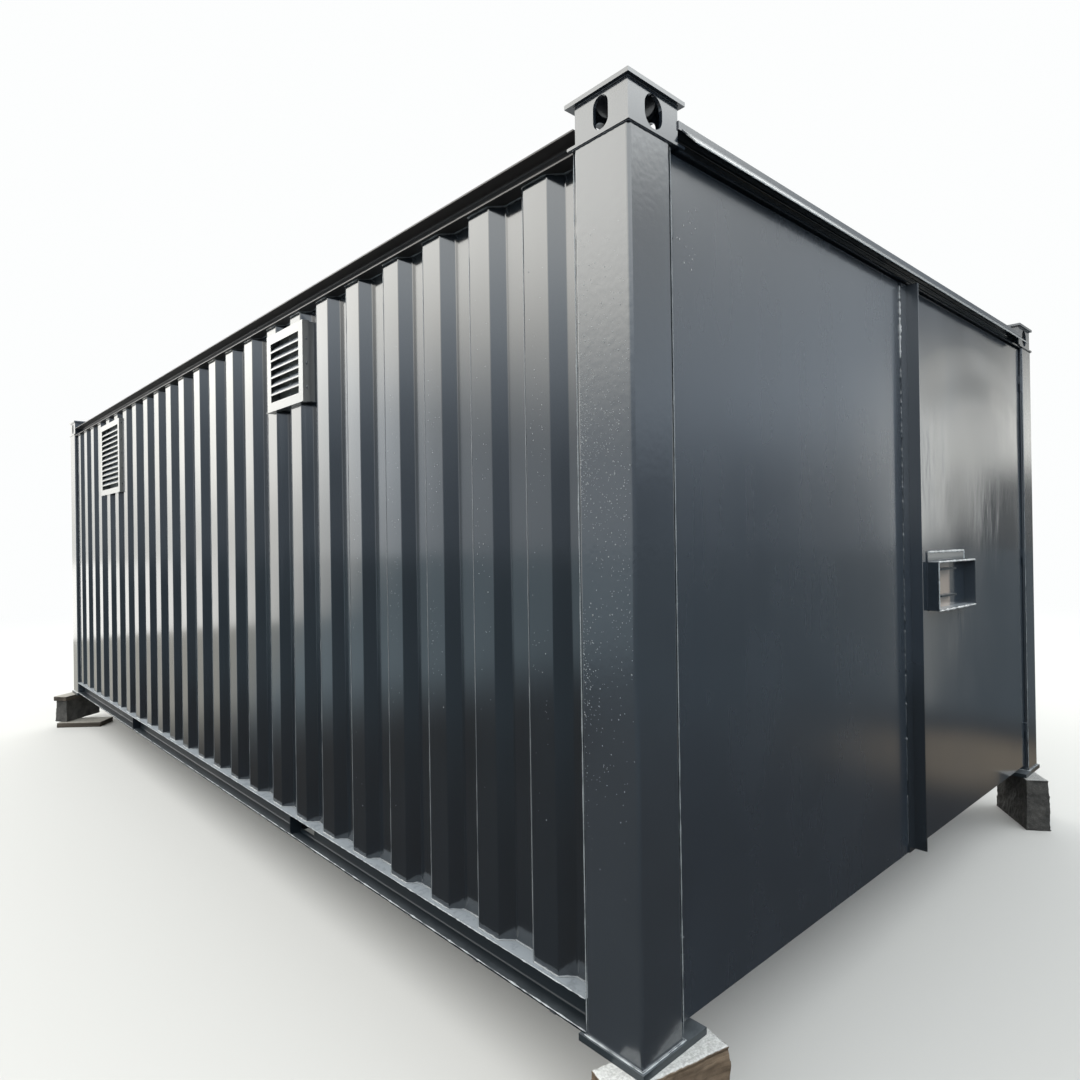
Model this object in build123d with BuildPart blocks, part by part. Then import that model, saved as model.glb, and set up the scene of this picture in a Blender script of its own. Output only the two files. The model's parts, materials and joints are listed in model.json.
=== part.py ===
from build123d import *
import os

os.makedirs("parts", exist_ok=True)

# The steel box, measured over the outer faces of its corner posts.
# X runs across, Y along the length with the doors at -Y, Z up from the ground.
length = 7040
width = 3640
support_height = 280

# Corner posts and the plates at their ends
base_plate_thickness = 20
base_plate_width = 275
base_plate_depth = 230
base_plate_overhang = 10
post_height = 2440
post_width = 175
post_depth = 200
post_wall = 6
post_corner_radius = 12
head_plate_thickness = 8
head_plate_width = 238
head_plate_depth = 224
head_plate_overhang = 6

# Lifting blocks on the head plates
block_height = 111
block_width = 210
block_depth = 191
block_inset = 4
block_wall = 10
end_slot_width = 74
end_slot_height = 92
side_slot_width = 54
side_slot_height = 90
cap_plate_thickness = 12
cap_plate_width = 241
cap_plate_depth = 232
cap_plate_overhang = 8

# Rolled channel rails, open outwards
bottom_rail_height = 98
rail_depth = 60
rail_wall = 5
rail_root_radius = 7
top_rail_height = 71
top_rail_above_post = 60
header_height = 66
header_depth = 45
header_wall = 6
gusset_thickness = 8
gusset_front_inset = 3
gusset_from_end = 2130
web_opening_width = 140
web_opening_height = 60
sill_depth = 45
sill_wall = 5

# Sloped drip hood and roof edge strips over the ends
hood_projection = 44
hood_drop = 50
hood_thickness = 5
hood_end_gap = 16
roof_edge_height = 18
roof_edge_thickness = 6

# Folded wall sheets
sheet_thickness = 2
ridge_inset = 18
corrugation_depth = 40
ridge_flat = 105
ridge_flank = 38
ridge_pitch = 271
ridges_per_sheet = 4
seam_extra = 26
first_ridge_from_post = 180
seam_from_flank = 17
fold_radius = 7
lap_width = 14
seam_gap = 2
joggle = 4

# Roof sheet with pressed cross ribs, and the bars under it
roof_thickness = 2
roof_margin = 8
roof_corner_clearance = 3
roof_rib_height = 16
roof_rib_base = 130
roof_rib_angle = 38
roof_rib_pitch = 320
roof_rib_end_inset = 150
roof_rib_from_end = 330
roof_bow_size = 38
roof_bow_wall = 3
roof_bow_pitch = 1100

# Floor
deck_thickness = 28
deck_clearance = 4
cross_member_flange = 45
cross_member_wall = 4
cross_member_pitch = 450

# Doors
hinge_gap = 15
leaf_gap = 12
leaf_set_back = 15
leaf_thickness = 40
leaf_bottom = 35
leaf_head_clearance = 8
leaf_skin = 3
leaf_bar = 40
leaf_rail_count = 2
meeting_leg = 66
meeting_fin = 52
meeting_wall = 6
meeting_overhang = 6
stop_size = 40
stop_clearance = 6

# Hinge barrels in the gap beside each post
hinge_barrel_radius = 6
hinge_pin_radius = 3
hinge_pin_clearance = 0.3
hinge_barrel_height = 45
hinge_pin_length = 35
hinge_axis_above_face = 7
hinge_tab = 8
hinge_play = 0.5
hinge_from_leaf_end = 150

# Lock box on the right leaf
lock_width = 480
lock_height = 215
lock_projection = 50
lock_wall = 5
lock_bottom = 1030
lock_from_leaf_edge = 184
lock_strip_height = 47
lock_strip_width = 462
lock_tab_width = 190
lock_tab_depth = 36
lock_tab_thickness = 8
lock_tab_from_wall = 70
lock_tab_hole_radius = 9
lock_tab_spacing = 120
lock_tab_bottom = 56

# Louvred vents, one small and one tall in each long side
vent_proud = 18
vent_cover_depth = 32
vent_sheet = 3
vent_border = 43
vent_top_below_post = 62
blade_pitch = 41
blade_from_opening = 33
blade_lip = 8
blade_reach = 35
blade_thickness = 2
small_vent_width = 395
small_vent_height = 368
small_vent_from_front = 2116
tall_vent_width = 610
tall_vent_height = 576
tall_vent_from_front = 5495
vent_lip = 6

# Support blocks on the ground, turned about the vertical and set off the plate's middle.
# Turns and offsets are written for the left side and are mirrored on the right.
support_block_width = 135
support_block_length = 400
support_block_taper = 8
front_left_turn = -14
front_left_offset = (-26, -86)
front_right_turn = -37
front_right_offset = (-15, -55)
rear_turn = 36
rear_offset = (-99, 72)
board_thickness = 42
upper_board_width = 140
upper_board_length = 420
lower_board_width = 220
lower_board_length = 400
lower_board_turn = -40
lower_board_offset = (-78, -124)

# Levels and planes that follow from the sizes above
plate_level = support_height
post_level = plate_level + base_plate_thickness
post_top = post_level + post_height
block_level = post_top + head_plate_thickness
cap_level = block_level + block_height
rail_top = post_level + bottom_rail_height
top_rail_top = post_top + top_rail_above_post
top_rail_bottom = top_rail_top - top_rail_height
header_bottom = top_rail_top - header_height
sheet_height = top_rail_bottom - rail_top
half_x = width / 2
half_y = length / 2
bay_x = half_x - post_width
bay_y = half_y - post_depth
web_x = half_x - rail_depth
recess_inset = ridge_inset + corrugation_depth
wall_inner = recess_inset + 2 * sheet_thickness
leaf_top = header_bottom - leaf_head_clearance
leaf_bottom_level = post_level + leaf_bottom
leaf_height = leaf_top - leaf_bottom_level
leaf_outer = bay_x - hinge_gap
leaf_inner = leaf_gap / 2
leaf_width = leaf_outer - leaf_inner
leaf_face = -half_y + leaf_set_back
leaf_back = leaf_face + leaf_thickness
sill_face = leaf_back + stop_clearance
hinge_x = bay_x - hinge_gap / 2
hinge_y = leaf_face - hinge_axis_above_face

sides = {"left": -1, "right": 1}
ends = {"front": -1, "rear": 1}
corners = [(f"{e}_{s}", sides[s], ends[e]) for e in ends for s in sides]


def save(piece, name):
    piece.part.label = name
    export_step(piece.part, f"parts/{name}.step")


def corner_centre(sx, sy, across, along, outward):
    """Centre of a corner rectangle whose outer edges lie outward of the post faces."""
    x = sx * (half_x + outward - across / 2)
    y = sy * (half_y + outward - along / 2)
    return x, y


def corner_plates(across, along, outward, level, thickness):
    with BuildPart() as plates:
        with BuildSketch(Plane.XY.offset(level)):
            with Locations(*[corner_centre(sx, sy, across, along, outward) for _, sx, sy in corners]):
                Rectangle(across, along)
        extrude(amount=thickness)
    return plates


# Base, head and cap plates, four of each
base_plates = corner_plates(
    base_plate_width, base_plate_depth, base_plate_overhang, plate_level, base_plate_thickness
)
save(base_plates, "base_plates")

head_plates = corner_plates(
    head_plate_width, head_plate_depth, head_plate_overhang, post_top, head_plate_thickness
)
save(head_plates, "head_plates")

cap_plates = corner_plates(
    cap_plate_width, cap_plate_depth, cap_plate_overhang, cap_level, cap_plate_thickness
)
save(cap_plates, "cap_plates")

# Corner posts: folded box sections
for corner, sx, sy in corners:
    with BuildPart() as corner_post:
        with BuildSketch(Plane.XY.offset(post_level)):
            with Locations(corner_centre(sx, sy, post_width, post_depth, 0)):
                RectangleRounded(post_width, post_depth, post_corner_radius)
                RectangleRounded(
                    post_width - 2 * post_wall,
                    post_depth - 2 * post_wall,
                    post_corner_radius - post_wall,
                    mode=Mode.SUBTRACT,
                )
        extrude(amount=post_height)
    save(corner_post, f"corner_post_{corner}")

# Lifting blocks: open boxes with an upright slot through each wall
slot_level = block_level + block_height / 2
for corner, sx, sy in corners:
    block_x, block_y = corner_centre(sx, sy, block_width, block_depth, -block_inset)
    with BuildPart() as lifting_block:
        with BuildSketch(Plane.XY.offset(block_level)):
            with Locations((block_x, block_y)):
                Rectangle(block_width, block_depth)
                Rectangle(
                    block_width - 2 * block_wall, block_depth - 2 * block_wall, mode=Mode.SUBTRACT
                )
        extrude(amount=block_height)
        with BuildSketch(Plane.XZ.offset(-block_y)):
            with Locations((block_x, slot_level)):
                SlotOverall(end_slot_height, end_slot_width, rotation=90)
        extrude(amount=block_depth, both=True, mode=Mode.SUBTRACT)
        with BuildSketch(Plane.YZ.offset(block_x)):
            with Locations((block_y, slot_level)):
                SlotOverall(side_slot_height, side_slot_width, rotation=90)
        extrude(amount=block_width, both=True, mode=Mode.SUBTRACT)
    save(lifting_block, f"lifting_block_{corner}")


def channel(mouth, sign, level, depth, height, wall):
    """Channel section with rounded roots, its mouth facing sign times the first sketch axis."""
    with Locations((sign * (mouth - depth / 2), level + height / 2)):
        Rectangle(depth, height)
    with Locations((sign * mouth, level + height / 2)):
        RectangleRounded(
            2 * (depth - wall), height - 2 * wall, rail_root_radius, mode=Mode.SUBTRACT
        )


# Long rails at the foot and head of each side; two openings pierce each lower web
gusset_y = half_y - gusset_from_end
web_opening_y = gusset_y + (gusset_thickness + web_opening_width) / 2
for side, sx in sides.items():
    with BuildPart() as bottom_rail:
        with BuildSketch(Plane.XZ):
            channel(half_x, sx, post_level, rail_depth, bottom_rail_height, rail_wall)
        extrude(amount=bay_y, both=True)
        with BuildSketch(Plane.YZ.offset(sx * web_x)):
            with Locations((0, post_level + bottom_rail_height / 2)):
                with GridLocations(2 * web_opening_y, 1, 2, 1):
                    Rectangle(web_opening_width, web_opening_height)
        extrude(amount=rail_wall, both=True, mode=Mode.SUBTRACT)
    save(bottom_rail, f"bottom_rail_{side}")

    with BuildPart() as top_rail:
        with BuildSketch(Plane.XZ):
            channel(half_x, sx, top_rail_bottom, rail_depth, top_rail_height, rail_wall)
        extrude(amount=bay_y, both=True)
        add(head_plates.part, mode=Mode.SUBTRACT)
    save(top_rail, f"top_rail_{side}")

# Upright gussets inside the long bottom rails
gusset_depth = rail_depth - rail_wall - gusset_front_inset
gusset_x = half_x - gusset_front_inset - gusset_depth / 2
with BuildPart() as rail_gussets:
    for sy in ends.values():
        with BuildSketch(Plane.XZ.offset(sy * gusset_y)) as gusset:
            with Locations((0, post_level + bottom_rail_height / 2)):
                with GridLocations(2 * gusset_x, 1, 2, 1):
                    Rectangle(gusset_depth, bottom_rail_height - 2 * rail_wall)
            chamfer(gusset.vertices(), length=rail_root_radius)
        extrude(amount=gusset_thickness / 2, both=True)
save(rail_gussets, "rail_gussets")

# Rails across the closed end
with BuildPart() as bottom_rail_rear:
    with BuildSketch(Plane.YZ):
        channel(half_y, 1, post_level, rail_depth, bottom_rail_height, rail_wall)
    extrude(amount=bay_x, both=True)
save(bottom_rail_rear, "bottom_rail_rear")

with BuildPart() as top_rail_rear:
    with BuildSketch(Plane.YZ):
        channel(half_y, 1, top_rail_bottom, rail_depth, top_rail_height, rail_wall)
    extrude(amount=bay_x, both=True)
    add(head_plates.part, mode=Mode.SUBTRACT)
    for corner, sx, sy in corners:
        block_x, block_y = corner_centre(sx, sy, block_width, block_depth, -block_inset)
        with Locations((block_x, block_y, block_level)):
            Box(
                block_width,
                block_depth,
                block_height,
                align=(Align.CENTER, Align.CENTER, Align.MIN),
                mode=Mode.SUBTRACT,
            )
save(top_rail_rear, "top_rail_rear")

# Door header between the front lifting blocks, open outwards
header_half = half_x - block_inset - block_width
with BuildPart() as door_header:
    with BuildSketch(Plane.YZ):
        channel(half_y, -1, header_bottom, header_depth, header_height, header_wall)
    extrude(amount=header_half, both=True)
    add(head_plates.part, mode=Mode.SUBTRACT)
save(door_header, "door_header")

# Door sill, open towards the floor
with BuildPart() as door_sill:
    with BuildSketch(Plane.YZ):
        channel(sill_face + sill_depth, 1, post_level, sill_depth, bottom_rail_height, sill_wall)
    extrude(amount=bay_x, both=True)
save(door_sill, "door_sill")

# Drip hood welded to the upper front edge of the header
with BuildPart() as drip_hood:
    with BuildSketch(Plane.YZ):
        with BuildLine():
            Polyline(
                (-half_y, top_rail_top),
                (-half_y, top_rail_top - header_wall),
                (-half_y - hood_projection, top_rail_top - hood_drop - hood_thickness),
                (-half_y - hood_projection, top_rail_top - hood_drop),
                close=True,
            )
        make_face()
    extrude(amount=header_half - hood_end_gap, both=True)
save(drip_hood, "drip_hood")

# Upright strips that close the roof sheet at both ends
with BuildPart() as roof_edges:
    with BuildSketch(Plane.XY.offset(top_rail_top)):
        with GridLocations(0, length - roof_edge_thickness, 1, 2):
            Rectangle(2 * header_half, roof_edge_thickness)
    extrude(amount=roof_edge_height)
save(roof_edges, "roof_edges")


def ridge_folds(centre):
    """The four folds of one ridge: (run, depth) pairs, where depth 0 is the recess face."""
    half = ridge_flat / 2
    return [
        (centre - half - ridge_flank, 0),
        (centre - half, -corrugation_depth),
        (centre + half, -corrugation_depth),
        (centre + half + ridge_flank, 0),
    ]


def folded_sheet(start, end, ridges, lapped, place, inner_side):
    """Sheet along its folds; a lapped one starts with a tongue behind the sheet before it."""
    first = start + joggle if lapped else start
    folds = [(first, 0)]
    for centre in ridges:
        folds += ridge_folds(centre)
    folds.append((end, 0))
    tongue = [(start - lap_width, sheet_thickness), (start + seam_gap, sheet_thickness)]
    with BuildSketch(Plane.XY.offset(rail_top)) as section:
        with BuildLine():
            FilletPolyline(*[place(*fold) for fold in folds], radius=fold_radius)
            if lapped:
                Polyline(*[place(*fold) for fold in tongue], place(*folds[0]))
            offset(amount=sheet_thickness, side=inner_side)
        make_face()
    return section.sketch


# Side sheets: runs are measured from the inner face of the front post
ridge_half = ridge_flat / 2 + ridge_flank
side_run = 2 * bay_y
sheet_step = ridges_per_sheet * ridge_pitch + seam_extra
side_sheets = []
sheet_start = 0
first_ridge = first_ridge_from_post
while first_ridge + ridge_half < side_run:
    ridges = [first_ridge + n * ridge_pitch for n in range(ridges_per_sheet)]
    ridges = [centre for centre in ridges if centre + ridge_half < side_run]
    seam = first_ridge + (ridges_per_sheet - 1) * ridge_pitch + ridge_half + seam_from_flank
    first_ridge += sheet_step
    last = first_ridge + ridge_half >= side_run
    side_sheets.append((sheet_start, side_run if last else seam, ridges))
    sheet_start = seam

vents = {
    "small": (small_vent_width, small_vent_height, small_vent_from_front),
    "tall": (tall_vent_width, tall_vent_height, tall_vent_from_front),
}
vent_top = post_top - vent_top_below_post
vent_front = half_x - ridge_inset + vent_proud

for side, sx in sides.items():
    inner_side = Side.RIGHT if sx < 0 else Side.LEFT

    def side_place(run, depth):
        return sx * (half_x - recess_inset - depth), run - bay_y

    with BuildPart() as side_wall:
        for sheet_start, sheet_end, ridges in side_sheets:
            lapped = sheet_start > 0
            add(folded_sheet(sheet_start, sheet_end, ridges, lapped, side_place, inner_side))
            extrude(amount=sheet_height)
        for vent_width, vent_height, from_front in vents.values():
            for step, depth in ((0, vent_cover_depth), (2 * vent_sheet, 2 * recess_inset)):
                with BuildSketch(Plane.YZ.offset(sx * vent_front)):
                    with Locations((from_front - half_y, vent_top - vent_height / 2)):
                        Rectangle(vent_width - step, vent_height - step)
                extrude(amount=-sx * depth, mode=Mode.SUBTRACT)
    save(side_wall, f"{side}_wall")

# Rear wall: one sheet with the same folds, set out evenly between the posts
rear_run = 2 * bay_x
rear_count = int((rear_run - 2 * ridge_half) / ridge_pitch) + 1
rear_first = (rear_run - (rear_count - 1) * ridge_pitch) / 2
rear_ridges = [rear_first + n * ridge_pitch for n in range(rear_count)]


def rear_place(run, depth):
    return run - bay_x, half_y - recess_inset - depth


with BuildPart() as rear_wall:
    add(folded_sheet(0, rear_run, rear_ridges, False, rear_place, Side.RIGHT))
    extrude(amount=sheet_height)
save(rear_wall, "rear_wall")

# Louvred vents: a sleeve through the wall, a cover with a border and lipped blades
sleeve_depth = vent_front - (half_x - wall_inner)
lip_depth = vent_lip + vent_proud
for side, sx in sides.items():
    cover_plane = Plane.YZ.offset(sx * vent_front)
    for size, (vent_width, vent_height, from_front) in vents.items():
        vent_y = from_front - half_y
        vent_z = vent_top - vent_height / 2
        vent_bottom = vent_top - vent_height
        opening_height = vent_height - 2 * vent_border
        blade_count = int((opening_height - blade_from_opening) / blade_pitch)
        with BuildPart() as vent:
            for step, depth in ((0, vent_cover_depth), (2 * vent_sheet, sleeve_depth)):
                with BuildSketch(cover_plane):
                    with Locations((vent_y, vent_z)):
                        Rectangle(vent_width - step, vent_height - step)
                        Rectangle(
                            vent_width - step - 2 * vent_sheet,
                            vent_height - step - 2 * vent_sheet,
                            mode=Mode.SUBTRACT,
                        )
                extrude(amount=-sx * depth)
            with BuildSketch(cover_plane):
                with Locations((vent_y, vent_z)):
                    Rectangle(vent_width, vent_height)
                    Rectangle(vent_width - 2 * vent_border, opening_height, mode=Mode.SUBTRACT)
            extrude(amount=-sx * vent_sheet)
            for n in range(blade_count):
                foot = vent_bottom + vent_border + blade_from_opening + n * blade_pitch
                top = foot + blade_lip
                section = [
                    (0, foot),
                    (0, top),
                    (blade_reach, top + blade_reach),
                    (blade_reach, top + blade_reach - 1.4 * blade_thickness),
                    (blade_thickness, top - 0.4 * blade_thickness),
                    (blade_thickness, foot),
                ]
                with BuildSketch(Plane.XZ.offset(-vent_y)):
                    with BuildLine():
                        Polyline(*[(sx * (vent_front - depth), z) for depth, z in section], close=True)
                    make_face()
                extrude(amount=vent_width / 2 - vent_sheet, both=True)
            with BuildSketch(Plane.XY.offset(vent_bottom - vent_sheet)):
                with Locations((sx * (vent_front + vent_lip - lip_depth / 2), vent_y)):
                    Rectangle(lip_depth, vent_width)
            extrude(amount=vent_sheet)
        save(vent, f"{size}_vent_{side}")

# Roof sheet with hollow pressed ribs across it
roof_x = half_x - roof_margin
roof_y = half_y - roof_edge_thickness
rib_half = half_x - roof_rib_end_inset
rib_count = int(2 * (roof_y - roof_rib_from_end) / roof_rib_pitch) + 1
with BuildPart() as roof_sheet:
    with BuildSketch(Plane.XY.offset(top_rail_top)):
        Rectangle(2 * roof_x, 2 * roof_y)
        for _, sx, sy in corners:
            with Locations(corner_centre(sx, sy, cap_plate_width, cap_plate_depth, roof_corner_clearance)):
                Rectangle(cap_plate_width, cap_plate_depth, mode=Mode.SUBTRACT)
    extrude(amount=roof_thickness)
    for shrink, rib_mode in ((0, Mode.ADD), (roof_thickness, Mode.SUBTRACT)):
        with BuildSketch(Plane.YZ):
            with Locations((0, top_rail_top)):
                with GridLocations(roof_rib_pitch, 1, rib_count, 1):
                    Trapezoid(
                        roof_rib_base - 2 * shrink,
                        roof_rib_height - shrink,
                        roof_rib_angle,
                        align=(Align.CENTER, Align.MIN),
                    )
        extrude(amount=rib_half - shrink, both=True, mode=rib_mode)
save(roof_sheet, "roof_sheet")

# Box-section bars that carry the roof between the side rails
roof_bow_count = int((2 * bay_y - roof_bow_size) / roof_bow_pitch)
with BuildPart() as roof_bows:
    with BuildSketch(Plane.YZ):
        with Locations((0, top_rail_top - roof_bow_size / 2)):
            with GridLocations(roof_bow_pitch, 1, roof_bow_count, 1):
                Rectangle(roof_bow_size, roof_bow_size)
                Rectangle(
                    roof_bow_size - 2 * roof_bow_wall,
                    roof_bow_size - 2 * roof_bow_wall,
                    mode=Mode.SUBTRACT,
                )
    extrude(amount=web_x, both=True)
save(roof_bows, "roof_bows")

# Floor deck of boards on channel cross members
deck_x = half_x - wall_inner - deck_clearance
deck_front = sill_face
deck_rear = half_y - wall_inner - deck_clearance
with BuildPart() as floor_deck:
    with BuildSketch(Plane.XY.offset(rail_top)):
        with Locations((0, (deck_front + deck_rear) / 2)):
            Rectangle(2 * deck_x, deck_rear - deck_front)
        for _, sx, sy in corners:
            notch_x = post_width + deck_clearance
            notch_y = post_depth + deck_clearance
            with Locations(corner_centre(sx, sy, notch_x, notch_y, 0)):
                Rectangle(notch_x, notch_y, mode=Mode.SUBTRACT)
    extrude(amount=deck_thickness)
save(floor_deck, "floor_deck")

cross_member_count = int((2 * bay_y - cross_member_flange) / cross_member_pitch) + 1
with BuildPart() as floor_cross_members:
    with BuildSketch(Plane.YZ):
        with Locations((0, post_level + bottom_rail_height / 2)):
            with GridLocations(cross_member_pitch, 1, cross_member_count, 1):
                Rectangle(cross_member_flange, bottom_rail_height)
        with Locations((cross_member_wall / 2, post_level + bottom_rail_height / 2)):
            with GridLocations(cross_member_pitch, 1, cross_member_count, 1):
                Rectangle(
                    cross_member_flange - cross_member_wall,
                    bottom_rail_height - 2 * cross_member_wall,
                    mode=Mode.SUBTRACT,
                )
    extrude(amount=web_x, both=True)
save(floor_cross_members, "floor_cross_members")

# Stops that the closed doors lie against
stop_level = rail_top + deck_thickness
with BuildPart() as door_stops:
    with BuildSketch(Plane.XY.offset(stop_level)):
        with Locations((0, sill_face + stop_size / 2)):
            with GridLocations(2 * bay_x - stop_size, 1, 2, 1):
                Rectangle(stop_size, stop_size)
    extrude(amount=header_bottom - stop_size - stop_level)
    with BuildSketch(Plane.YZ):
        with Locations((sill_face + stop_size / 2, header_bottom - stop_size / 2)):
            Rectangle(stop_size, stop_size)
    extrude(amount=bay_x, both=True)
save(door_stops, "door_stops")

# Door leaves: a folded steel tray stiffened by a frame of bars
for side, sx in sides.items():
    leaf_x = sx * (leaf_outer + leaf_inner) / 2
    leaf_z = (leaf_top + leaf_bottom_level) / 2
    with BuildPart() as door_skin:
        with BuildSketch(Plane.XZ.offset(-leaf_face)):
            with Locations((leaf_x, leaf_z)):
                Rectangle(leaf_width, leaf_height)
        extrude(amount=-leaf_thickness)
        with BuildSketch(Plane.XZ.offset(-leaf_face - leaf_skin)):
            with Locations((leaf_x, leaf_z)):
                Rectangle(leaf_width - 2 * leaf_skin, leaf_height - 2 * leaf_skin)
        extrude(amount=-leaf_thickness, mode=Mode.SUBTRACT)
    save(door_skin, f"{side}_door_skin")

    frame_width = leaf_width - 2 * leaf_skin
    frame_height = leaf_height - 2 * leaf_skin
    pane_height = (frame_height - (leaf_rail_count + 2) * leaf_bar) / (leaf_rail_count + 1)
    with BuildPart() as door_frame:
        with BuildSketch(Plane.XZ.offset(-leaf_face - leaf_skin)):
            with Locations((leaf_x, leaf_z)):
                Rectangle(frame_width, frame_height)
                with GridLocations(1, pane_height + leaf_bar, 1, leaf_rail_count + 1):
                    Rectangle(frame_width - 2 * leaf_bar, pane_height, mode=Mode.SUBTRACT)
        extrude(amount=-(leaf_thickness - leaf_skin))
    save(door_frame, f"{side}_door_frame")

# Meeting bar: an angle along the free edge of the left leaf
with BuildPart() as meeting_bar:
    with BuildSketch(Plane.XY.offset(leaf_bottom_level)):
        with Locations((-leaf_inner + meeting_overhang, leaf_face)):
            Rectangle(meeting_leg, meeting_wall, align=Align.MAX)
            Rectangle(meeting_wall, meeting_fin, align=Align.MAX)
    extrude(amount=leaf_height)
save(meeting_bar, "meeting_bar")

# Lock box on the right leaf, with a strip along its top
lock_left = leaf_inner + lock_from_leaf_edge
lock_x = lock_left + lock_width / 2
lock_level = post_level + lock_bottom
with BuildPart() as lock_box:
    with BuildSketch(Plane.XZ.offset(-leaf_face)):
        with Locations((lock_x, lock_level + lock_height / 2)):
            Rectangle(lock_width, lock_height)
            Rectangle(lock_width - 2 * lock_wall, lock_height - 2 * lock_wall, mode=Mode.SUBTRACT)
    extrude(amount=lock_projection)
    with BuildSketch(Plane.XZ.offset(-leaf_face)):
        with Locations((lock_left, lock_level + lock_height)):
            Rectangle(lock_strip_width, lock_strip_height, align=Align.MIN)
    extrude(amount=lock_wall)
save(lock_box, "lock_box")

# Two drilled tabs inside the lock box for padlocks
with BuildPart() as lock_tabs:
    with BuildSketch(Plane.XY.offset(lock_level + lock_tab_bottom)):
        with Locations((lock_left + lock_tab_from_wall, leaf_face)):
            Rectangle(lock_tab_width, lock_tab_depth, align=(Align.MIN, Align.MAX))
        with Locations((lock_left + lock_tab_from_wall + lock_tab_width / 2, leaf_face - lock_tab_depth / 2)):
            Circle(lock_tab_hole_radius, mode=Mode.SUBTRACT)
    tab = extrude(amount=lock_tab_thickness)
    add(tab.moved(Location((0, 0, lock_tab_spacing))))
save(lock_tabs, "lock_tabs")

# Hinges: fixed barrels with pins on the posts, turning barrels on the leaves
hinge_height = 2 * hinge_barrel_height + hinge_play
hinge_lowest = leaf_bottom_level + hinge_from_leaf_end
hinge_highest = leaf_top - hinge_from_leaf_end - hinge_height
hinge_levels = (hinge_lowest, (hinge_lowest + hinge_highest) / 2, hinge_highest)
for side, sx in sides.items():
    with BuildPart() as fixed_barrels:
        for level in hinge_levels:
            with BuildSketch(Plane.XY.offset(level)):
                with Locations((sx * hinge_x, hinge_y)):
                    Circle(hinge_barrel_radius)
                with Locations((sx * (hinge_x + hinge_gap / 4), hinge_y)):
                    Rectangle(hinge_gap / 2, hinge_tab)
            extrude(amount=hinge_barrel_height)
            with BuildSketch(Plane.XY.offset(level + hinge_barrel_height)):
                with Locations((sx * hinge_x, hinge_y)):
                    Circle(hinge_pin_radius)
            extrude(amount=hinge_pin_length)
    save(fixed_barrels, f"{side}_hinge_fixed")

    with BuildPart() as turning_barrels:
        for level in hinge_levels:
            with BuildSketch(Plane.XY.offset(level + hinge_barrel_height + hinge_play)):
                with Locations((sx * hinge_x, hinge_y)):
                    Circle(hinge_barrel_radius)
                with Locations((sx * (hinge_x - hinge_gap / 4), hinge_y)):
                    Rectangle(
                        hinge_gap / 2,
                        hinge_axis_above_face + hinge_tab,
                        align=(Align.CENTER, Align.MIN),
                    )
                with Locations((sx * hinge_x, hinge_y)):
                    Circle(hinge_pin_radius + hinge_pin_clearance, mode=Mode.SUBTRACT)
            extrude(amount=hinge_barrel_height)
    save(turning_barrels, f"{side}_hinge_turning")

# Support blocks under the front plates, and blocks between boards under the rear ones


def support_block(sx, sy, offset_xy, turn, level, height):
    """Tapered block set off the middle of a base plate, mirrored for the right side."""
    plate_x, plate_y = corner_centre(sx, sy, base_plate_width, base_plate_depth, base_plate_overhang)
    centre = (plate_x - sx * offset_xy[0], plate_y + offset_xy[1])
    across = support_block_width
    along = support_block_length
    taper = 2 * support_block_taper
    with BuildPart() as block:
        with BuildSketch(Plane.XY.offset(level)):
            with Locations(centre):
                Rectangle(along, across, rotation=-sx * turn)
        with BuildSketch(Plane.XY.offset(level + height)):
            with Locations(centre):
                Rectangle(along - taper, across - taper, rotation=-sx * turn)
        loft()
    return block


support_front_left = support_block(-1, -1, front_left_offset, front_left_turn, 0, support_height)
save(support_front_left, "support_front_left")

support_front_right = support_block(1, -1, front_right_offset, front_right_turn, 0, support_height)
save(support_front_right, "support_front_right")

rear_block_height = support_height - 2 * board_thickness
for side, sx in sides.items():
    support_rear = support_block(sx, 1, rear_offset, rear_turn, board_thickness, rear_block_height)
    save(support_rear, f"support_rear_{side}")

upper_board = (upper_board_length, upper_board_width, rear_turn, rear_offset)
lower_board = (lower_board_length, lower_board_width, lower_board_turn, lower_board_offset)
with BuildPart() as support_boards:
    for level, (along, across, turn, offset_xy) in (
        (0, lower_board),
        (support_height - board_thickness, upper_board),
    ):
        with BuildSketch(Plane.XY.offset(level)):
            for sx in sides.values():
                plate_x, plate_y = corner_centre(
                    sx, 1, base_plate_width, base_plate_depth, base_plate_overhang
                )
                with Locations((plate_x - sx * offset_xy[0], plate_y + offset_xy[1])):
                    Rectangle(along, across, rotation=-sx * turn)
        extrude(amount=board_thickness)
save(support_boards, "support_boards")
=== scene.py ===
import bmesh
import bpy
import json
import math
import random
from mathutils import Matrix, Vector, noise


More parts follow.
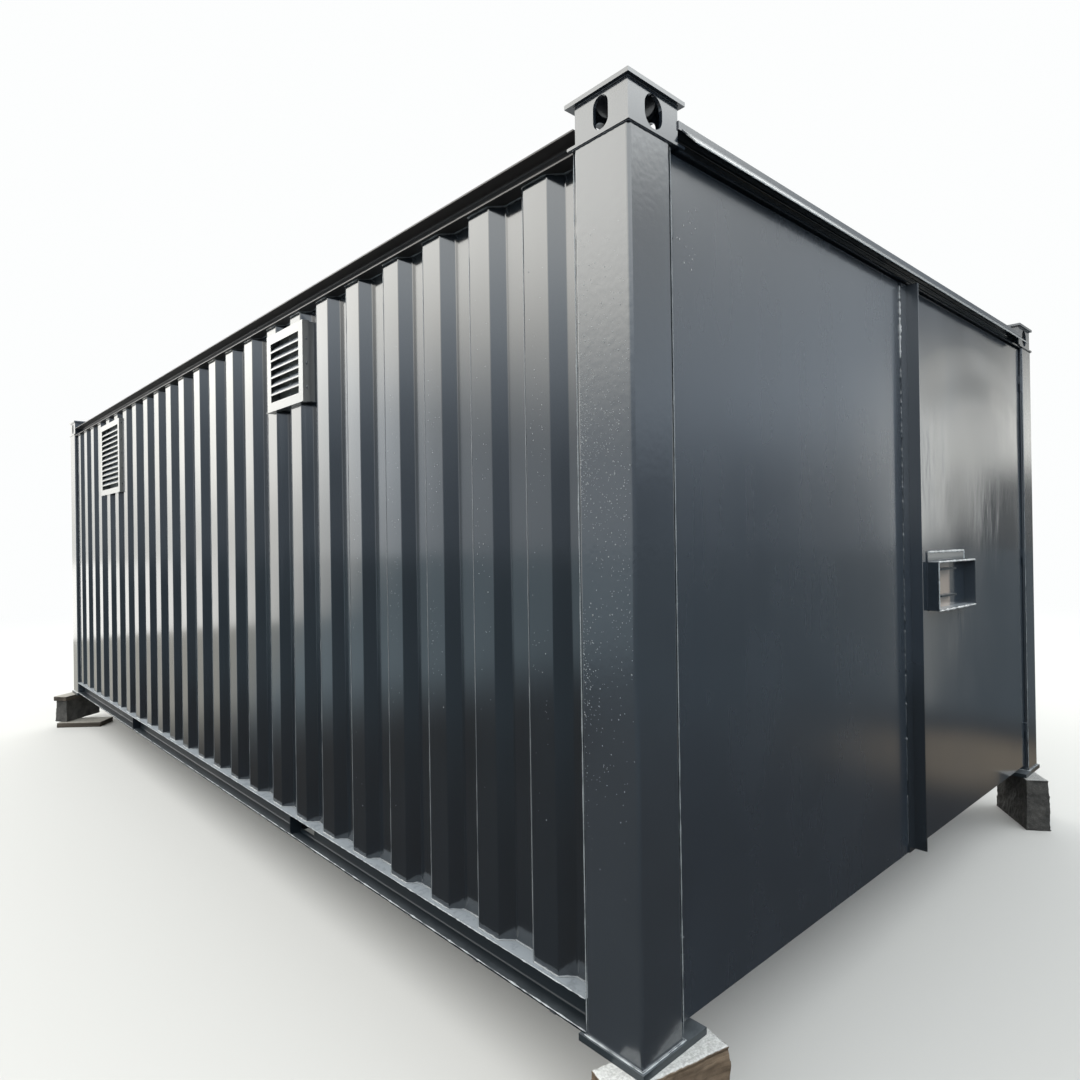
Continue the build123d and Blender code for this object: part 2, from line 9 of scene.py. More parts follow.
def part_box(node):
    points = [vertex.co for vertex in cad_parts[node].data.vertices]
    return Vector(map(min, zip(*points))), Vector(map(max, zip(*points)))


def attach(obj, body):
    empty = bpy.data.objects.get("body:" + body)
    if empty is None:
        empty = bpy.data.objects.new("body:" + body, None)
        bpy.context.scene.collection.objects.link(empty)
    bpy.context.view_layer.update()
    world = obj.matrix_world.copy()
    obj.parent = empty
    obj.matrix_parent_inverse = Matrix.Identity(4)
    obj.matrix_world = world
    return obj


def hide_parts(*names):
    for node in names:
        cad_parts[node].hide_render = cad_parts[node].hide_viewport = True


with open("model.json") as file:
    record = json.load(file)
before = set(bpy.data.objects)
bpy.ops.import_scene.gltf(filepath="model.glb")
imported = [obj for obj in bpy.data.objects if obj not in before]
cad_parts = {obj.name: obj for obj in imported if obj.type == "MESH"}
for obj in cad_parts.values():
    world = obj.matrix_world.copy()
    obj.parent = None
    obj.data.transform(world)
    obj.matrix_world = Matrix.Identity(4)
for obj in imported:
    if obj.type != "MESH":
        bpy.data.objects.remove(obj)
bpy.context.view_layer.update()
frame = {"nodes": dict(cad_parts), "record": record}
nodes = frame["nodes"]
scene = bpy.context.scene
random.seed(11)

SIDES = (("left", -1), ("right", 1))
CORNERS = ("front_left", "front_right", "rear_left", "rear_right")
WALLS = ("left_wall", "right_wall", "rear_wall")

# Camera: the photograph's eye point, heading and field of view
eye = Vector((-3.264, -4.734, 1.659))
yaw, pitch, roll = math.radians(42.56), math.radians(0.17), math.radians(-0.86)
sensor_width, lens = 36, 24.37
ahead = Vector((math.sin(yaw) * math.cos(pitch), math.cos(yaw) * math.cos(pitch), math.sin(pitch)))
level_right = Vector((math.cos(yaw), -math.sin(yaw), 0))
level_up = level_right.cross(ahead)
right = math.cos(roll) * level_right + math.sin(roll) * level_up
up = math.cos(roll) * level_up - math.sin(roll) * level_right
camera = bpy.data.objects.new("camera", bpy.data.cameras.new("camera"))
camera.data.sensor_width = sensor_width
camera.data.lens = lens
camera.data.clip_end = 300
turn = Matrix((right, up, -ahead)).transposed()
camera.matrix_world = Matrix.Translation(eye) @ turn.to_4x4()
scene.collection.objects.link(camera)
scene.camera = camera
scene.view_settings.view_transform = "Standard"


# Node helpers
class Tree:
    """Short calls to add nodes to a material or world and join them."""

    def __init__(self, owner):
        owner.use_nodes = True
        self.tree = owner.node_tree
        self.tree.nodes.clear()

    def node(self, kind, settings=None, **inputs):
        made = self.tree.nodes.new(kind)
        for key, value in (settings or {}).items():
            setattr(made, key, value)
        for key, value in inputs.items():
            self.put(made, key, value)
        return made

    def put(self, made, key, value):
        """Joins or sets an input, named as its socket is, or i0, i1 and so on by its place."""
        name = key.replace("_", " ")
        socket = made.inputs[int(key[1:])] if key[1:].isdigit() else made.inputs[name]
        if isinstance(value, bpy.types.NodeSocket):
            self.tree.links.new(value, socket)
        else:
            socket.default_value = value

    def math(self, operation, a, b=0.0, clamp=False):
        settings = {"operation": operation, "use_clamp": clamp}
        return self.node("ShaderNodeMath", settings, i0=a, i1=b).outputs[0]

    def product(self, first, *others):
        for other in others:
            first = self.math("MULTIPLY", first, other)
        return first

    def share(self, factor, a, b):
        """A number that goes from a to b as the factor goes from 0 to 1."""
        kept = self.math("MULTIPLY", a, self.math("SUBTRACT", 1.0, factor))
        return self.math("ADD", kept, self.math("MULTIPLY", b, factor))

    def ramp(self, value, low, high, out_low=0.0, out_high=1.0):
        made = self.node(
            "ShaderNodeMapRange",
            {"interpolation_type": "SMOOTHSTEP"},
            i0=value, i1=low, i2=high, i3=out_low, i4=out_high,
        )
        return made.outputs[0]

    def fall(self, value, low, high):
        return self.ramp(value, low, high, 1.0, 0.0)

    def band(self, value, rise, fall):
        """1 between a rise and a fall, each (low, high), and 0 outside them."""
        return self.math("MULTIPLY", self.ramp(value, *rise), self.fall(value, *fall))

    def mix(self, factor, a, b):
        a, b = (c if isinstance(c, bpy.types.NodeSocket) else (*c, 1) for c in (a, b))
        return self.node("ShaderNodeMix", {"data_type": "RGBA"}, i0=factor, i6=a, i7=b).outputs[2]

    def vector(self, operation, a, b=None):
        """A vector, or the number that a distance, length or dot product gives."""
        made = self.node("ShaderNodeVectorMath", {"operation": operation}, i0=a)
        if b is not None:
            self.put(made, "i1", b)
        number = operation in ("DISTANCE", "LENGTH", "DOT_PRODUCT")
        return made.outputs["Value" if number else "Vector"]

    def axes(self, vector):
        return self.node("ShaderNodeSeparateXYZ", Vector=vector).outputs[:3]

    def place(self):
        return self.node("ShaderNodeTexCoord").outputs["Object"]

    def upward(self, low, high):
        """0 where the face's normal rises less than low, 1 where it rises more than high."""
        normal = self.node("ShaderNodeNewGeometry").outputs["Normal"]
        return self.ramp(self.axes(normal)[2], low, high)

    def noise(self, where, scale, detail=2.0, rough=0.5):
        inputs = {"Vector": where, "Scale": scale, "Detail": detail, "Roughness": rough}
        return self.node("ShaderNodeTexNoise", **inputs).outputs[0]

    def stretched(self, where, scale):
        return self.node("ShaderNodeMapping", Vector=where, Scale=scale).outputs[0]

    def bump(self, height, distance, normal=None):
        made = self.node("ShaderNodeBump", Height=height, Distance=distance, Strength=1.0)
        if normal is not None:
            self.put(made, "Normal", normal)
        return made.outputs[0]


def material(name):
    made = bpy.data.materials.new(name)
    tree = Tree(made)
    shader = tree.node("ShaderNodeBsdfPrincipled")
    out = tree.node("ShaderNodeOutputMaterial")
    tree.tree.links.new(shader.outputs[0], out.inputs[0])
    return made, tree, shader


def dimmed(gain, colour):
    return tuple(gain * c for c in colour)


# Paint
ANTHRACITE = (0.026, 0.0355, 0.048)
# Pale dust on faces that look up, in a bluish grey that also paints the sky's sheen on them
DUST_AND_SKY_SHEEN = (0.27, 0.3, 0.33)
RAIL_WEB_X, RAIL_WEB_Y = 1.76, 3.46
RAIL_TOP = (0.38, 0.395)
BAR_Y = -3.5
LEAF_FACE_Y = -3.505
DENTS = (
    ((1.12, LEAF_FACE_Y, 1.74), 0.5),
    ((0.62, LEAF_FACE_Y, 1.26), 0.3),
    ((0.3, LEAF_FACE_Y, 2.0), 0.35),
)
DENT_DEPTH = 0.0024
BUCKLE_MIDDLE = (0.95, LEAF_FACE_Y, 2.1)
BUCKLE_SCALE = (1 / 0.75, 1.0, 1 / 0.37)
BUCKLE_DEPTH = 0.0045


def in_patch(t, where, centre, half):
    """1 inside the box of that half size about the centre, fading out towards its faces."""
    offset = t.vector("DIVIDE", t.vector("SUBTRACT", where, centre), half)
    x, y, z = t.axes(t.vector("ABSOLUTE", offset))
    return t.fall(t.math("MAXIMUM", x, t.math("MAXIMUM", y, z)), 0.75, 1.0)


def shelf_painted_shade(t, where, lip_dust_and_sheen):
    """The share of pale dust and sheen on a rail's lower shelf: none at the web, rising towards the
    lip, so the shelf is darker towards the web as painted shade; the upper flange's top takes the
    full share.
    """
    x, y, z = t.axes(where)
    out_x = t.math("SUBTRACT", t.math("ABSOLUTE", x), RAIL_WEB_X)
    out_y = t.math("SUBTRACT", t.math("ABSOLUTE", y), RAIL_WEB_Y)
    lower = t.ramp(t.math("MAXIMUM", out_x, out_y), 0.012, 0.062, 0.0, lip_dust_and_sheen)
    return t.math("MAXIMUM", lower, t.ramp(z, *RAIL_TOP))


def with_dents(t, where, normal):
    """Ripples round three spots of the right leaf, and an arch pressed in near its top."""
    ripples = t.noise(t.stretched(where, (11.0, 11.0, 3.6)), 1.0, 2.0, 0.5)
    for spot, reach in DENTS:
        near = t.fall(t.vector("DISTANCE", where, spot), 0.1 * reach, reach)
        normal = t.bump(t.math("MULTIPLY", ripples, near), DENT_DEPTH, normal)
    buckle = t.stretched(t.vector("SUBTRACT", where, BUCKLE_MIDDLE), BUCKLE_SCALE)
    valley = t.band(t.vector("LENGTH", buckle), (0.6, 1.0), (1.0, 1.4))
    high_part = t.ramp(t.axes(where)[2], 2.15, 2.4)
    return t.bump(t.math("MULTIPLY", valley, high_part), -BUCKLE_DEPTH, normal)


def paint(name, rough=0.17, swell=0.004, dust_and_sheen=0.5, tilt=0.75, colour=ANTHRACITE, peel=0.0,
          gloss=1.9, dented=False, lip_dust_and_sheen=1.0, areas=()):
    """Thick paint on steel: soft swells, faint runs, and a pale colour on faces that look up that
    is dust and also a painted sheen of the sky. Swell and peel are bump heights, gloss is the index
    of refraction, tilt is how far up a face looks to take that pale colour, and each area is
    (centre, half size, colour) of a patch; the patches used here are painted reflections and
    painted shade."""
    made, t, shader = material(name)
    where = t.place()
    patches = t.noise(where, 2.3, 4.0, 0.6)
    grain = t.noise(where, 24.0, 3.0, 0.65)
    runs = t.noise(t.stretched(where, (14.0, 14.0, 0.7)), 1.0, 1.0, 0.5)

    body = t.mix(t.ramp(patches, 0.3, 0.7), dimmed(0.93, colour), dimmed(1.07, colour))
    for centre, half, other in areas:
        body = t.mix(in_patch(t, where, centre, half), body, other)
    upward = t.upward(tilt - 0.15, tilt + 0.2)
    dust_and_sheen_mask = t.math("MULTIPLY", upward, t.ramp(grain, 0.3, 0.62, 0.55 * dust_and_sheen, dust_and_sheen))
    if lip_dust_and_sheen < 1:
        dust_and_sheen_mask = t.math("MULTIPLY", dust_and_sheen_mask, shelf_painted_shade(t, where, lip_dust_and_sheen))
    t.put(shader, "Base Color", t.mix(dust_and_sheen_mask, body, DUST_AND_SKY_SHEEN))

    normal = t.bump(t.noise(where, 1.7, 1.0, 0.4), swell)
    if dented:
        normal = with_dents(t, where, normal)
    if peel:
        normal = t.bump(t.noise(where, 44.0, 1.0, 0.5), peel, normal)
    t.put(shader, "Normal", normal)

    rough_map = t.ramp(patches, 0.25, 0.75, rough - 0.02, rough + 0.03)
    rough_map = t.math("ADD", rough_map, t.ramp(runs, 0.3, 0.7, -0.012, 0.012))
    rough_map = t.math("ADD", rough_map, t.math("MULTIPLY", dust_and_sheen_mask, 0.3), clamp=True)
    t.put(shader, "Roughness", rough_map)
    shader.inputs["IOR"].default_value = gloss
    shader.inputs["Coat Weight"].default_value = 0.5 if gloss > 1.6 else 0.0
    shader.inputs["Coat Roughness"].default_value = 0.1
    return made


# Concrete, timber, chalk and water
def concrete(name):
    made, t, shader = material(name)
    where = t.place()
    blotches = t.noise(where, 14.0, 5.0, 0.65)
    grit = t.noise(where, 160.0, 3.0, 0.7)
    pores = t.node("ShaderNodeTexVoronoi", Vector=where, Scale=95.0).outputs["Distance"]
    tone = t.mix(t.ramp(blotches, 0.3, 0.7), (0.028, 0.028, 0.027), (0.085, 0.083, 0.078))
    tone = t.mix(t.ramp(grit, 0.6, 0.75), tone, (0.19, 0.185, 0.17))
    top = t.mix(t.ramp(grit, 0.35, 0.7), (0.26, 0.265, 0.26), (0.5, 0.5, 0.49))
    t.put(shader, "Base Color", t.mix(t.upward(0.5, 0.95), tone, top))
    t.put(shader, "Roughness", t.ramp(blotches, 0.3, 0.7, 0.72, 0.95))
    normal = t.bump(t.ramp(pores, 0.0, 0.3), 0.0022, t.bump(blotches, 0.006))
    t.put(shader, "Normal", t.bump(grit, 0.0012, normal))
    return made


def timber(name, dark, light, top_pale):
    """Weathered sawn timber; the grain runs along the first axis of the stored coordinates."""
    made, t, shader = material(name)
    where = t.node("ShaderNodeAttribute", {"attribute_name": "grain"}).outputs["Vector"]
    lines = t.noise(t.stretched(where, (3.0, 90.0, 90.0)), 1.0, 4.0, 0.65)
    bands = t.noise(t.stretched(where, (1.6, 22.0, 22.0)), 1.0, 3.0, 0.6)
    specks = t.noise(where, 130.0, 3.0, 0.7)
    tone = t.mix(t.ramp(bands, 0.3, 0.7), dark, light)
    tone = t.mix(t.ramp(lines, 0.28, 0.5, 0.75, 0.0), tone, dimmed(0.35, dark))
    pale = t.mix(t.ramp(specks, 0.3, 0.7), dimmed(0.62, top_pale), top_pale)
    t.put(shader, "Base Color", t.mix(t.upward(0.5, 0.95), tone, pale))
    t.put(shader, "Roughness", t.ramp(lines, 0.3, 0.7, 0.95, 0.75))
    t.put(shader, "Normal", t.bump(specks, 0.0014, t.bump(lines, 0.0035)))
    return made


def plywood(name):
    """Floor sheets laid across, with dark joints between them and a long grain."""
    sheet_width, shift, joint_share = 1.22, 40.0, 0.0022
    made, t, shader = material(name)
    where = t.place()
    shifted = t.math("ADD", t.axes(where)[1], shift)
    along = t.math("FRACT", t.math("DIVIDE", shifted, sheet_width))
    to_edge = t.math("MINIMUM", along, t.math("SUBTRACT", 1.0, along))
    joint = t.math("LESS_THAN", to_edge, joint_share)
    lines = t.noise(t.stretched(where, (2.4, 42.0, 42.0)), 1.0, 5.0, 0.6)
    broad = t.noise(t.stretched(where, (0.8, 4.0, 4.0)), 1.0, 3.0, 0.6)
    tone = t.mix(t.ramp(broad, 0.3, 0.7), (0.24, 0.15, 0.085), (0.42, 0.3, 0.18))
    tone = t.mix(t.ramp(lines, 0.3, 0.6, 0.55, 0.0), tone, (0.14, 0.085, 0.045))
    t.put(shader, "Base Color", t.mix(joint, tone, (0.02, 0.015, 0.01)))
    t.put(shader, "Roughness", t.ramp(lines, 0.3, 0.7, 0.75, 0.55))
    t.put(shader, "Normal", t.bump(lines, 0.0012))
    return made


def plain_mineral(name, pale, rough=0.6):
    """Chalk, or a pale paint along an edge that is a painted highlight."""
    made, t, shader = material(name)
    specks = t.noise(t.place(), 260.0, 3.0, 0.7)
    t.put(shader, "Base Color", t.mix(t.ramp(specks, 0.3, 0.7), dimmed(0.7, pale), pale))
    t.put(shader, "Roughness", t.ramp(specks, 0.3, 0.7, rough, rough + 0.25))
    t.put(shader, "Normal", t.bump(specks, 0.0008))
    return made


def water(name):
    made, t, shader = material(name)
    where = t.place()
    # A pale grey base that stands in for the glints on the drops: painted light
    tone = t.mix(t.noise(where, 40.0), (0.22, 0.24, 0.25), (0.42, 0.44, 0.45))
    t.put(shader, "Base Color", tone)
    t.put(shader, "Roughness", t.ramp(t.noise(where, 300.0), 0.3, 0.7, 0.02, 0.08))
    shader.inputs["IOR"].default_value = 1.6
    return made


lock_low, lock_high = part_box("lock_box")
lock_mid = (lock_low + lock_high) / 2
lock_top = lock_low.z + 0.215
hood_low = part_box("drip_hood")[0]

# Patches of painted light and shade, each (centre, half size, colour): a painted reflection of the
# ground inside the lock box, painted reflections on the lock box's upper strip and the hood's lip,
# and on the meeting bar a painted reflection towards its head and painted shade towards its foot
lock_back_painted_reflection = (
    (lock_low.x + 0.15, lock_high.y - 0.009, lock_low.z + 0.107),
    (0.144, 0.012, 0.13),
    (0.38, 0.31, 0.26),
)
lock_strip_painted_reflection = ((lock_mid.x, lock_high.y, lock_top + 0.1), (0.4, 0.2, 0.1), (0.23, 0.235, 0.23))
hood_lip_painted_reflection = ((0, hood_low.y, hood_low.z + 0.008), (4, 0.036, 0.03), (0.42, 0.425, 0.42))
bar_head_painted_reflection = ((0, BAR_Y, 2.9), (0.5, 0.2, 1.4), (0.075, 0.085, 0.098))
bar_foot_painted_shade = ((0, BAR_Y, 0.1), (0.5, 0.2, 1.1), (0.02, 0.026, 0.033))

steel = paint("gloss_anthracite")
roof_paint = paint("gloss_anthracite_roof", rough=0.3, dust_and_sheen=0.22)
sheet_paint = paint("gloss_anthracite_wall", rough=0.13, swell=0.003, colour=(0.013, 0.0185, 0.025))
leaf_paint = paint("gloss_anthracite_leaf", rough=0.26, swell=0.006)
# Carries the painted reflection of the ground inside the lock box
right_leaf_paint = paint(
    "gloss_anthracite_right_leaf", rough=0.16, swell=0.009, dented=True, areas=[lock_back_painted_reflection],
)
# Carries a painted reflection on the strip above the lock box
lock_paint = paint(
    "gloss_anthracite_lock", dust_and_sheen=1.3, colour=(0.03, 0.04, 0.052), areas=[lock_strip_painted_reflection],
)
# Carries a painted reflection along the hood's lip
hood_paint = paint("gloss_anthracite_hood", dust_and_sheen=0.5, swell=0.001, areas=[hood_lip_painted_reflection])
# Carries a painted reflection near the bar's head and painted shade near its foot
bar_paint = paint(
    "gloss_anthracite_bar", colour=(0.036, 0.046, 0.06), swell=0.002, areas=[bar_head_painted_reflection, bar_foot_painted_shade],
)
post_paint = paint(
    "gloss_anthracite_post", rough=0.18, swell=0.002, peel=0.00035, colour=(0.031, 0.0395, 0.05),
)
# The vents' pale grey, much paler than the anthracite round them, is painted light
vent_painted_light = paint(
    "gloss_anthracite_vent_painted_light", dust_and_sheen=1.3, tilt=0.6, colour=(0.2, 0.203, 0.198), swell=0.001,
)
# Darker than the other paints: painted shade on the bottom rails, whose lower shelves also darken
# towards the web as painted shade
rail_painted_shade = paint(
    "anthracite_rail_painted_shade", rough=0.36, dust_and_sheen=1.3, swell=0.001, gloss=1.4, lip_dust_and_sheen=0.2,
    colour=(0.01, 0.015, 0.02),
)
# A brownish grey that is a painted reflection of the ground
top_rail_painted_reflection = paint(
    "anthracite_top_rail_painted_reflection", rough=0.4, dust_and_sheen=0.4, swell=0.001, gloss=1.5,
    colour=(0.062, 0.056, 0.054),
)
plate_paint = paint(
    "anthracite_plate", rough=0.3, dust_and_sheen=0.3, swell=0.001, gloss=1.5, colour=(0.026, 0.034, 0.04),
)
# Pale paint for the bends of folds: a painted highlight
fold_painted_highlight = paint(
    "gloss_anthracite_fold_painted_highlight", rough=0.22, dust_and_sheen=0.4, swell=0.001, colour=(0.24, 0.255, 0.265),
)
# Paler grey for weld beads and a leaf edge: a painted highlight
weld_painted_highlight = paint(
    "gloss_anthracite_weld_painted_highlight", rough=0.25, dust_and_sheen=0.8, swell=0.001, colour=(0.13, 0.145, 0.155),
)
seam_paint = paint("gloss_anthracite_seam", rough=0.2, swell=0.001, colour=(0.06, 0.07, 0.08))
# Pale screens behind the vent blades: painted light seen between the blades
screen_painted_light = paint("vent_screen_painted_light", rough=0.5, swell=0.001, gloss=1.4, colour=(0.62, 0.62, 0.58))
# Pale paint along edges that catch the sky: a painted highlight
edge_painted_highlight = plain_mineral("edge_painted_highlight", (0.5, 0.54, 0.56), 0.16)
# Pale paint along the front posts' edges: a painted highlight
post_edge_painted_highlight = plain_mineral("post_edge_painted_highlight", (0.36, 0.39, 0.405), 0.2)
# Near-white paint for the weld's top and the lock box's lips: a painted highlight
pale_edge_painted_highlight = plain_mineral("pale_edge_painted_highlight", (0.85, 0.86, 0.86), 0.16)
chalk = plain_mineral("white_specks", (0.62, 0.63, 0.62))
rain = water("rain_drops_painted_highlight")
block_concrete = concrete("dark_concrete")
board_wood = timber(
    "weathered_board", (0.035, 0.028, 0.022), (0.1, 0.085, 0.068), (0.42, 0.4, 0.36),
)
sleeper_wood = timber(
    "weathered_sleeper", (0.08, 0.055, 0.035), (0.27, 0.2, 0.135), (0.72, 0.73, 0.72),
)
deck_wood = plywood("plywood")

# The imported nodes' materials: by slot, apart from the nodes with a paint of their own
slot_paint = {
    "painted_steel": steel,
    "floor_boards": deck_wood,
    "concrete": block_concrete,
    "timber": board_wood,
}
paint_of_nodes = (
    (leaf_paint, "left_door_skin", "left_door_frame"),
    (right_leaf_paint, "right_door_skin", "right_door_frame"),
    (sheet_paint, *WALLS),
    (post_paint, *(f"corner_post_{corner}" for corner in CORNERS)),
    (plate_paint, "base_plates", "lock_tabs"),
    (rail_painted_shade, "rail_gussets", *(f"bottom_rail_{side}" for side in ("left", "right", "rear"))),
    (top_rail_painted_reflection, *(f"top_rail_{side}" for side in ("left", "right", "rear"))),
    (vent_painted_light, *(f"{size}_vent_{side}" for size in ("small", "tall") for side, _ in SIDES)),
    (hood_paint, "drip_hood"),
    (roof_paint, "roof_sheet", "roof_edges"),
    (lock_paint, "lock_box"),
    (bar_paint, "meeting_bar"),
)
own_paint = {node: finish for finish, *names in paint_of_nodes for node in names}
for row in frame["record"]["subparts"]:
    node = row["node"]
    nodes[node].data.materials.clear()
    nodes[node].data.materials.append(own_paint.get(node, slot_paint[row["material_slot"]]))


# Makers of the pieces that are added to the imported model
def piece_from(name, vertices, faces, finish, body, slot, smooth=True):
    mesh = bpy.data.meshes.new(name)
    mesh.from_pydata(vertices, [], faces)
    mesh.validate()
    if smooth:
        mesh.shade_smooth()
    mesh.materials.append(finish)
    made = bpy.data.objects.new(name, mesh)
    scene.collection.objects.link(made)
    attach(made, body)


def bent_copy(node, finish, radius, least, most, pick=None):
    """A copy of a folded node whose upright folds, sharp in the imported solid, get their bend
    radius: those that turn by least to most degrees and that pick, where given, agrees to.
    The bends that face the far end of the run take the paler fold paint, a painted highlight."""
    made = bpy.data.objects.new(f"{node}_bent", nodes[node].data.copy())
    scene.collection.objects.link(made)
    shape = bmesh.new()
    shape.from_mesh(made.data)
    bmesh.ops.remove_doubles(shape, verts=shape.verts, dist=0.00002)
    nearly_flat, hard_edge, facing_far = math.radians(0.4), math.radians(40), 0.12
    bmesh.ops.dissolve_limit(shape, angle_limit=nearly_flat, verts=shape.verts, edges=shape.edges)
    folds = []
    for edge in shape.edges:
        rise = edge.verts[1].co - edge.verts[0].co
        if len(edge.link_faces) != 2 or abs(rise.z) < 0.999 * rise.length:
            continue
        turned = math.degrees(edge.calc_face_angle())
        if least < turned < most and (pick is None or pick(edge.verts[0].co)):
            folds.append(edge)
    bmesh.ops.bevel(
        shape, geom=folds, offset=radius, offset_type="WIDTH" if most < 80 else "OFFSET",
        segments=3, profile=0.5, affect="EDGES", clamp_overlap=False, material=1,
    )
    along = 0 if node == "rear_wall" else 1
    for face in shape.faces:
        if face.normal[along] < facing_far:
            face.material_index = 0
    shape.to_mesh(made.data)
    shape.free()
    made.data.shade_smooth()
    made.data.set_sharp_from_angle(angle=hard_edge)
    weighted = made.modifiers.new("flats", "WEIGHTED_NORMAL")
    weighted.keep_sharp = True
    made.data.materials.clear()
    made.data.materials.append(finish)
    made.data.materials.append(fold_painted_highlight)
    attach(made, "store")
    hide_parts(node)


def resampled(path, closed, step):
    """The path's points at an even spacing of about one step."""
    points = [Vector(p) for p in path]
    if closed:
        points.append(points[0])
    even = [points[0]]
    for a, b in zip(points, points[1:]):
        count = max(1, round((b - a).length / step))
        even += [a.lerp(b, n / count) for n in range(1, count + 1)]
    return even[:-1] if closed else even


def weld(paths, radius, step=0.007, sides=6, ragged=0.35):
    """Vertices and faces of rippled beads along paths, each (points, closed). Ragged says how
    unevenly thick they are."""
    aslant = Vector((0.31, 0.17, 0.93))
    vertices, faces = [], []
    for points, closed in paths:
        line = resampled(points, closed, step)
        count = len(line)
        start = len(vertices)
        for n, point in enumerate(line):
            before = line[n - 1] if closed or n else line[0]
            after = line[(n + 1) % count] if closed or n + 1 < count else line[-1]
            along = (after - before).normalized()
            side = along.cross(aslant).normalized()
            over = side.cross(along)
            uneven = noise.noise(point * 60) - 0.1
            swell = radius * max(0.12, 1 + 0.16 * math.sin(2.1 * n) + ragged * uneven)
            if not closed and n in (0, count - 1):
                swell *= 0.3
            for k in range(sides):
                turned = 2 * math.pi * k / sides
                offset = math.cos(turned) * side + math.sin(turned) * over
                vertices.append(point + swell * offset)
        for n in range(count if closed else count - 1):
            here, there = start + n * sides, start + (n + 1) % count * sides
            for k in range(sides):
                following = (k + 1) % sides
                faces.append((here + k, there + k, there + following, here + following))
        if not closed:
            faces.append(tuple(start + k for k in range(sides)))
            faces.append(tuple(start + (count - 1) * sides + k for k in range(sides))[::-1])
    return vertices, faces


def bead(name, paths, radius, finish, body="store", **shape):
    """A piece of beads: weld metal, or thin pale lines along edges whose colour is a painted
    highlight.
    """
    piece_from(name, *weld(paths, radius, **shape), finish, body, "painted_steel")


# Paths for beads
def run(start, end):
    return ([start, end], False)


def upright(x, y, low_z, high_z):
    return run((x, y, low_z), (x, y, high_z))


def loop_box(low, high, z):
    corners = ((low[0], low[1]), (high[0], low[1]), (high[0], high[1]), (low[0], high[1]))
    return ([(x, y, z) for x, y in corners], True)


def outer_x(low, high, sx):
    """The box's side that faces away from the store's middle, on the side that sx says."""
    return low.x if sx < 0 else high.x


def outer_contour(name, level_top):
    """Points of the outer face in order along the wall, at the foot or head of the sheet."""
    spacing, level_slack, stand_off = 0.004, 0.0005, 0.001
    low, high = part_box(name)
    z = high.z if level_top else low.z
    across = 1 if name == "rear_wall" else 0
    along = 1 - across
    outward = -1 if name == "left_wall" else 1
    best = {}
    for vertex in nodes[name].data.vertices:
        point = vertex.co.copy()
        if abs(point.z - z) >= level_slack:
            continue
        key = round(point[along] / spacing)
        if key not in best or outward * point[across] > outward * best[key][across]:
            best[key] = point
    shift = Vector((0, 0, 0))
    shift[across] = outward * stand_off
    return [best[key] + shift for key in sorted(best)]


# Welds along the foot and head of each wall sheet, whose paler grey is a painted highlight
contours = {(wall, top): outer_contour(wall, top) for wall in WALLS for top in (False, True)}
for (wall, level_top), contour in contours.items():
    name = f"{wall}_weld_{'head' if level_top else 'foot'}"
    bead(name, [(contour, False)], 0.0042, weld_painted_highlight, step=0.012, sides=5, ragged=0.9)

# Sheet walls and posts with the radius of their folds
for wall in WALLS:
    bent_copy(wall, sheet_paint, 0.005, 15, 75)


def outer_edges(low, high):
    """A test for points on the four upright outer edges of a box."""
    slack = 0.001

    def on_edge(point):
        off_x = min(abs(point.x - low.x), abs(point.x - high.x))
        off_y = min(abs(point.y - low.y), abs(point.y - high.y))
        return off_x < slack and off_y < slack

    return on_edge


for corner in CORNERS:
    node = f"corner_post_{corner}"
    bent_copy(node, post_paint, 0.006, 80, 100, outer_edges(*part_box(node)))

# Thin beads along each far fold of the long walls, and along the rear outer
# and the front inner edge of each front post, whose pale colour is a painted highlight of the bends
inset = 0.001
for side, sx in SIDES:
    low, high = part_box(f"{side}_wall")
    ridge_x = outer_x(low, high, sx)
    line = contours[f"{side}_wall", False]
    fold_ys = [
        a.y for a, b in zip(line, line[1:])
        if abs(a.x - ridge_x) < 0.004 and sx * (a.x - b.x) > 0.01
    ]
    folds = [upright(ridge_x, y, low.z + 0.004, high.z - 0.004) for y in fold_ys]
    bead(f"{side}_fold_lines", folds, 0.0016, fold_painted_highlight, step=0.05, sides=4, ragged=0.7)
    low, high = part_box(f"corner_post_front_{side}")
    rear_outer = (outer_x(low, high, sx) - sx * inset, high.y - inset)
    front_inner = (outer_x(low, high, -sx) + sx * inset, low.y + inset)
    edges = [upright(x, y, low.z + 0.01, high.z - 0.01) for x, y in (rear_outer, front_inner)]
    bead(f"{side}_post_edges", edges, 0.0018, post_edge_painted_highlight, step=0.03, sides=5, ragged=0.9)

# Welds round the feet and heads of the posts, and under and over the lifting blocks
rings = []
for corner in CORNERS:
    for part in ("corner_post", "lifting_block"):
        low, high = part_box(f"{part}_{corner}")
        rings += [loop_box(low, high, z) for z in (low.z + inset, high.z - inset)]
bead("corner_welds", rings, 0.0032, steel)

# Stitch welds under the lower flanges of the long rails
first_stitch, stitch, pitch, spread = 0.12, 0.03, 0.31, 0.12
stitches = []
for side, sx in SIDES:
    low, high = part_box(f"bottom_rail_{side}")
    x = outer_x(low, high, sx)
    y = low.y + first_stitch
    while y < high.y - 0.1:
        stitches.append(run((x, y, low.z), (x, y + stitch, low.z)))
        y += pitch + spread * random.random()
bead("rail_foot_drips", stitches, 0.0026, rail_painted_shade)

